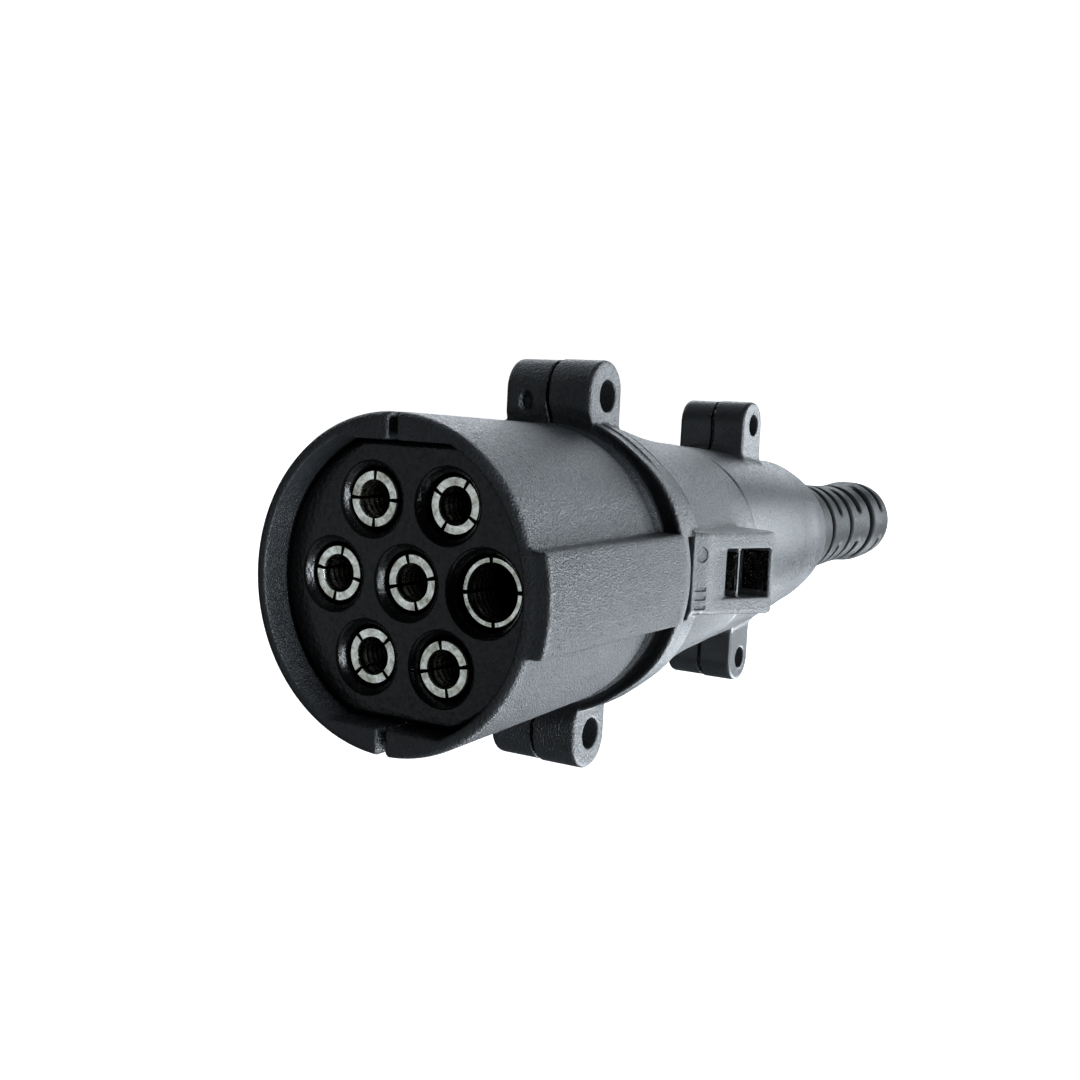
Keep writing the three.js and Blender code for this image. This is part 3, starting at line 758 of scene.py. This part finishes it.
def sleeve_mesh(name, contact):
    """A turned contact: slotted fingers with fine rings inside, a collar and a barrel for the core."""
    size = contact["size"]
    front, back = contact["front"], barrel_end(contact)
    lip = [0.0, 0.1, 0.25, 0.45, 0.7]
    depth = np.concatenate([lip, np.arange(0.95, SLOT_BACK - front, 0.25), [SLOT_BACK - front]])
    stations = front + depth
    outer = size["outer"] - 0.12 * np.clip(1 - depth / 0.2, 0, 1) ** 2
    ring = 0.10 * np.sin(2 * math.pi * depth / 1.0) * np.clip((depth - 0.7) / 0.4, 0, 1)
    inner = size["inner"] + 0.10 * np.clip(1 - depth / 0.2, 0, 1) + ring - 0.05
    bore_end = SLEEVE_BORE_DEPTH
    inside_tail = [(size["inner"], bore_end - 0.3), (size["inner"] - 0.3, bore_end), (0.0, bore_end + 0.8)]
    collar, barrel, wire = size["collar"], size["barrel"], size["wire"]
    collar_back, wire_from = INSERT["back"], INSERT["back"] + WIRE_HOLE_DEPTH
    outside_tail = [
        (size["outer"], COLLAR_FROM), (collar - 0.2, COLLAR_FROM), (collar, COLLAR_FROM + 0.2),
        (collar, collar_back - 0.2), (collar - 0.2, collar_back), (barrel, collar_back),
        (barrel, back - 0.3), (barrel - 0.3, back), (wire + 0.2, back),
        (wire, back - 0.2), (wire, wire_from + 0.8), (0.0, wire_from),
    ]
    half = math.degrees(SLOT_WIDTH / 2 / size["outer"])
    angles = []
    for quarter in range(4):
        start = quarter * 90 + contact["turn"]
        angles += [start - half, start + half]
        angles += [start + half + (90 - 2 * half) * k / FINGER_STEPS for k in range(1, FINGER_STEPS)]
    angles = np.radians(angles)
    columns = len(angles)
    slot_columns = {(FINGER_STEPS + 1) * quarter for quarter in range(4)}
    profile = [(0.0, bore_end + 0.8)] + [(r, y) for r, y in reversed(inside_tail[:2])]
    inner_first = len(profile)
    profile += [(inner[i], stations[i]) for i in reversed(range(len(stations)))]
    outer_first = len(profile)
    profile += [(outer[i], stations[i]) for i in range(len(stations))]
    profile += outside_tail
    cx, cz, _, _ = place_of(contact)
    points = []
    rows = []
    for r, y in profile:
        if r == 0.0:
            rows.append([len(points)] * columns)
            points.append((cx, y, cz))
            continue
        rows.append(list(range(len(points), len(points) + columns)))
        points += [(cx + r * math.cos(a), y, cz + r * math.sin(a)) for a in angles]
    faces = []
    last_slotted = outer_first + len(stations) - 1
    for i in range(len(profile) - 1):
        for j in range(columns):
            if j in slot_columns and inner_first <= i < last_slotted:
                continue
            k = (j + 1) % columns
            face = [rows[i][j], rows[i][k], rows[i + 1][k], rows[i + 1][j]]
            faces.append(list(dict.fromkeys(face)))
    for j in slot_columns:
        k = (j + 1) % columns
        for s in range(len(stations) - 1):
            inner_a, inner_b = outer_first - 1 - s, outer_first - 2 - s
            outer_a, outer_b = outer_first + s, outer_first + s + 1
            faces.append([rows[inner_a][j], rows[outer_a][j], rows[outer_b][j], rows[inner_b][j]])
            faces.append([rows[inner_a][k], rows[inner_b][k], rows[outer_b][k], rows[outer_a][k]])
        slot_floor = [(inner_first, j), (last_slotted, j), (last_slotted, k), (inner_first, k)]
        faces.append([rows[row][column] for row, column in slot_floor])
    mesh = bpy.data.meshes.new(name)
    mesh.from_pydata([tuple(c * MM for c in p) for p in points], [], faces)
    mesh.validate()
    finish_turned(mesh)
    return add_object(name, mesh)


def drill_screw_hole(sleeve, contact):
    """Cuts the hole of the terminal screw through the outer wall of the barrel."""
    cx, cz, ox, oz = place_of(contact)
    depth = contact["size"]["barrel"] + 1.0
    outward = Vector((ox, 0.0, oz))
    start = Vector((cx, barrel_end(contact) - TERMINAL_INSET, cz)) + outward * depth / 2
    turn = outward.to_track_quat("Z", "Y").to_matrix().to_4x4()
    drill = bpy.data.meshes.new("drill")
    bm = bmesh.new()
    bmesh.ops.create_cone(
        bm, cap_ends=True, segments=28, radius1=TERMINAL_SCREW["hole"] * MM,
        radius2=TERMINAL_SCREW["hole"] * MM, depth=depth * MM, matrix=Matrix.Translation(start * MM) @ turn,
    )
    bm.to_mesh(drill)
    bm.free()
    cutter = add_object("drill", drill)
    cut = sleeve.modifiers.new("screw_hole", "BOOLEAN")
    cut.operation = "DIFFERENCE"
    cut.solver = "EXACT"
    cut.object = cutter
    shaped = sleeve.evaluated_get(bpy.context.evaluated_depsgraph_get())
    mesh = bpy.data.meshes.new_from_object(shaped)
    sleeve.modifiers.clear()
    sleeve.data = mesh
    bpy.data.objects.remove(cutter)
    mesh.set_sharp_from_angle(angle=math.radians(SHARP_ANGLE))


def finish_turned(mesh):
    """Smooth shading with sharp edges, and faces turned outwards."""
    bm = bmesh.new()
    bm.from_mesh(mesh)
    bmesh.ops.recalc_face_normals(bm, faces=bm.faces)
    bm.to_mesh(mesh)
    bm.free()
    mesh.polygons.foreach_set("use_smooth", [True] * len(mesh.polygons))
    mesh.set_sharp_from_angle(angle=math.radians(SHARP_ANGLE))


# ---------------------------------------------------------------- materials

AXIS_SPAN = {"Y": (0.0, 180.0), "Z": (-30.0, 30.0)}
GLITTER = {
    "scale": 4200, "depth": 0.55, "up": [(5, 1), (13, 0)],
    "along": [(0.2, 0), (0.8, 1), (36, 1), (38, 0), (45, 0), (47, 0.5), (66, 0.5), (70, 0)],
}
COOL = (0.93, 1.0, 1.09)


def new_material(name):
    material = bpy.data.materials.new(name)
    material.use_nodes = True
    return material, material.node_tree.nodes, material.node_tree.links


def noise(nodes, links, scale, detail, rough, coordinate):
    node = nodes.new("ShaderNodeTexNoise")
    node.inputs["Scale"].default_value = scale
    node.inputs["Detail"].default_value = detail
    node.inputs["Roughness"].default_value = rough
    links.new(coordinate, node.inputs["Vector"])
    return node


def ramp(nodes, links, source, stops):
    node = nodes.new("ShaderNodeValToRGB")
    node.color_ramp.elements[0].position, node.color_ramp.elements[0].color = stops[0]
    node.color_ramp.elements[1].position, node.color_ramp.elements[1].color = stops[-1]
    for position, colour in stops[1:-1]:
        node.color_ramp.elements.new(position).color = colour
    links.new(source, node.inputs["Fac"])
    return node


def grey(v, tint=(1.0, 1.0, 1.0)):
    """A grey, or a tinted grey, as a colour with alpha."""
    return (v * tint[0], v * tint[1], v * tint[2], 1)


def along_axis(nodes, links, place, stops, axis="Y"):
    """A value that follows Y or Z, from stops of (distance in mm, value from 0 to 1)."""
    low, high = AXIS_SPAN[axis]
    apart = nodes.new("ShaderNodeSeparateXYZ")
    links.new(place, apart.inputs["Vector"])
    span = nodes.new("ShaderNodeMapRange")
    span.inputs["From Min"].default_value = low * MM
    span.inputs["From Max"].default_value = high * MM
    links.new(apart.outputs[axis], span.inputs["Value"])
    shares = [((at - low) / (high - low), grey(v)) for at, v in stops]
    return ramp(nodes, links, span.outputs["Result"], shares)


def glitter(nodes, links, place, normal):
    """A finer, sharper grain on the key, the rails of the catch and the lower barrel."""
    mask = nodes.new("ShaderNodeMath")
    mask.operation = "MULTIPLY"
    links.new(along_axis(nodes, links, place, GLITTER["along"]).outputs["Color"], mask.inputs[0])
    links.new(along_axis(nodes, links, place, GLITTER["up"], "Z").outputs["Color"], mask.inputs[1])
    bump = nodes.new("ShaderNodeBump")
    bump.inputs["Distance"].default_value = GLITTER["depth"] * MM
    links.new(mask.outputs["Value"], bump.inputs["Strength"])
    links.new(noise(nodes, links, GLITTER["scale"], 1, 0.5, place).outputs["Fac"], bump.inputs["Height"])
    links.new(normal, bump.inputs["Normal"])
    return bump.outputs["Normal"]


def textured(
    name, colours, roughness, grain, metallic=0.0, specular=0.5, mottle=180, shade=None, smooth=None,
    polish=None, glittering=False,
):
    """Plastic, rubber or metal: mottled colour, uneven gloss, and a grain of (scale, depth in mm).

    shade darkens the colour as painted shade, smooth flattens the grain and polish sets the specular level,
    all along Y; glittering adds the finer grain.
    """
    material, nodes, links = new_material(name)
    shader = nodes["Principled BSDF"]
    place = nodes.new("ShaderNodeTexCoord").outputs["Object"]
    patches = noise(nodes, links, mottle, 4, 0.6, place)
    blend = ramp(nodes, links, patches.outputs["Fac"], [(0.3, colours[0]), (0.7, colours[1])])
    colour = blend.outputs["Color"]
    # Painted shade: the base colour is multiplied by a grey that follows Y.
    if shade:
        painted_shade_mix = nodes.new("ShaderNodeMix")
        painted_shade_mix.data_type = "RGBA"
        painted_shade_mix.blend_type = "MULTIPLY"
        painted_shade_mix.inputs["Factor"].default_value = 1.0
        links.new(colour, painted_shade_mix.inputs["A"])
        links.new(along_axis(nodes, links, place, shade).outputs["Color"], painted_shade_mix.inputs["B"])
        colour = painted_shade_mix.outputs["Result"]
    links.new(colour, shader.inputs["Base Color"])
    scale, depth = grain
    pits = noise(nodes, links, scale, 2, 0.6, place)
    gloss = nodes.new("ShaderNodeMapRange")
    gloss.inputs["From Min"].default_value = 0.3
    gloss.inputs["From Max"].default_value = 0.7
    gloss.inputs["To Min"].default_value = roughness[1]
    gloss.inputs["To Max"].default_value = roughness[0]
    links.new(pits.outputs["Fac"], gloss.inputs["Value"])
    links.new(gloss.outputs["Result"], shader.inputs["Roughness"])
    bump = nodes.new("ShaderNodeBump")
    bump.inputs["Strength"].default_value = 1.0
    bump.inputs["Distance"].default_value = depth * MM
    if smooth:
        links.new(along_axis(nodes, links, place, smooth).outputs["Color"], bump.inputs["Strength"])
    links.new(pits.outputs["Fac"], bump.inputs["Height"])
    normal = bump.outputs["Normal"]
    if glittering:
        normal = glitter(nodes, links, place, normal)
    links.new(normal, shader.inputs["Normal"])
    shader.inputs["Metallic"].default_value = metallic
    shader.inputs["Specular IOR Level"].default_value = specular
    if polish:
        level = along_axis(nodes, links, place, polish).outputs["Color"]
        links.new(level, shader.inputs["Specular IOR Level"])
    return material


SHELL = textured(
    "shell_plastic", (grey(0.016, COOL), grey(0.026, COOL)), (0.24, 0.6), (2700, 0.3), glittering=True,
    smooth=[
        (0, 0.7), (37, 0.8), (40, 0.7), (44, 0.7), (46, 0.9), (68, 0.7), (75, 0.4), (79, 0.2), (127, 0.2),
    ],
)
INSERT_BLACK = textured(
    "insert_plastic", (grey(0.003), grey(0.006)), (0.2, 0.34), (1400, 0.08),
    polish=[(4.15, 0.05), (4.4, 0.9), (5.2, 0.9), (5.6, 0.05)],
)
# The contacts' colour darkens from 6.6 mm to 17.5 mm along Y and is full again from 19.5 mm: painted shade
# deep in the finger bores.
CONTACT = textured(
    "contact_nickel", (grey(0.3, (1, 0.97, 0.72)), grey(0.92, (0.98, 1, 0.94))), (0.16, 0.4), (2200, 0.03),
    metallic=1.0, mottle=700, shade=[(0, 1.0), (6.6, 1.0), (8.5, 0.5), (12, 0.2), (17.5, 0.08), (19.5, 1.0)],
)
STEEL = textured("zinc_steel", (grey(0.45), grey(0.58)), (0.25, 0.42), (2200, 0.012), metallic=1.0)
DARK_STEEL = textured("dark_steel", (grey(0.035), grey(0.06)), (0.3, 0.5), (2200, 0.014), metallic=1.0)
CLAMP_BLACK = textured("clamp_plastic", (grey(0.012), grey(0.02)), (0.4, 0.6), (2600, 0.06))
RUBBER = textured(
    "boot_rubber", (grey(0.004, COOL), grey(0.008, COOL)), (0.4, 0.6), (1500, 0.03), specular=0.14,
)


def finish_piece(piece, material, body, node):
    piece.data.materials.clear()
    piece.data.materials.append(material)
    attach(piece, body)
    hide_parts(node)


# ---------------------------------------------------------------- the object

def hole_middle(lug):
    return np.array([0.0, lug["hole_y"], lug["side"] * lug["hole_z"]])


def hole_boxes():
    """Boxes round the screw holes, where the shells' faces are split."""
    reach = (9, 3.4, 3.4)
    return [(hole_middle(lug) - reach, hole_middle(lug) + reach) for lug in LUGS]


def build_shells():
    rim = ((-26, -1, -32), (26, 2.6, 32))
    collar = ((-26, 34.4, -32), (26, 44.3, 32))
    tail_ring = ((-18, 75.8, -18), (18, 78.0, 18))
    catch = ((18, 44.3, -9), (26, 69, 9))
    panel = ((21.5, 40, -6.6), (26, 44.2, 6.6))
    right = field_mesh(
        "right_shell", shell_half(1), (-1.0, -1.2, -31.5), (25.5, 128.4, 31.5), 0.5,
        fine=[rim, collar, catch, panel, tail_ring, *hole_boxes()],
    )
    finish_piece(right, SHELL, "plug_body", "right_half_shell")
    left = field_mesh(
        "left_shell", shell_half(-1), (-25.0, -1.2, -31.5), (1.0, 128.4, 31.5), 0.5,
        fine=[rim, collar, tail_ring, *hole_boxes()],
    )
    finish_piece(left, SHELL, "left_half", "left_half_shell")


def build_insert():
    face = ((-20.5, 3.0, -20.5), (20.5, 5.9, 20.5))
    insert = field_mesh("insert", insert_field, (-20.5, 3.0, -20.5), (20.5, 25.0, 20.5), 0.42, fine=[face])
    finish_piece(insert, INSERT_BLACK, "plug_body", "contact_insert")
    plate = field_mesh("locking_plate", plate_field, (-18.5, 23.2, -18.5), (18.5, 28.2, 18.5), 0.5)
    finish_piece(plate, INSERT_BLACK, "plug_body", "contact_locking_plate")


def build_contact(contact):
    sleeve = sleeve_mesh(contact["name"] + "_sleeve", contact)
    drill_screw_hole(sleeve, contact)
    finish_piece(sleeve, CONTACT, "plug_body", contact["name"])
    cx, cz, ox, oz = place_of(contact)
    middle = (contact["size"]["wire"] + contact["size"]["barrel"]) / 2
    at = np.array([cx + ox * middle, barrel_end(contact) - TERMINAL_INSET, cz + oz * middle])
    node = contact["name"].replace("contact", "terminal_screw")
    screw = field_mesh(node + "_turned", terminal_screw_field(contact), at - 3.2, at + 3.2, 0.16)
    finish_piece(screw, STEEL, "plug_body", node)


def build_body_screw(lug):
    low = hole_middle(lug) + np.array([SCREW_SEAT - 2.6, -3.1, -3.1])
    high = hole_middle(lug) + np.array([4.2, 3.1, 3.1])
    screw = field_mesh(lug["name"] + "_screw_piece", body_screw_field(lug), low, high, 0.18)
    finish_piece(screw, DARK_STEEL, lug["name"] + "_screw", lug["name"] + "_body_screw")


def build_clamp():
    bar = field_mesh("clamp_bar", clamp_bar_field, (-7.5, 93.8, -11.0), (-0.6, 103.0, 11.0), 0.35)
    finish_piece(bar, CLAMP_BLACK, "plug_body", "cable_clamp_bar")
    for word, screw_z in (("upper", CLAMP_SCREW["z"]), ("lower", -CLAMP_SCREW["z"])):
        box = ((-9.6, 95.8, screw_z - 2.6), (8.2, 101.0, screw_z + 2.6))
        screw = field_mesh(word + "_clamp_screw_piece", clamp_screw_field(screw_z), *box, 0.2)
        finish_piece(screw, STEEL, "plug_body", word + "_clamp_screw")


def build_boot():
    boot = field_mesh("rubber_boot", boot_field, (-12.0, 109.5, -12.0), (12.0, 178.0, 12.0), 0.4)
    finish_piece(boot, RUBBER, "plug_body", "cable_boot")


set_camera()
set_stage()
build_shells()
build_insert()
for contact in CONTACTS:
    build_contact(contact)
for lug in LUGS:
    build_body_screw(lug)
build_clamp()
build_boot()
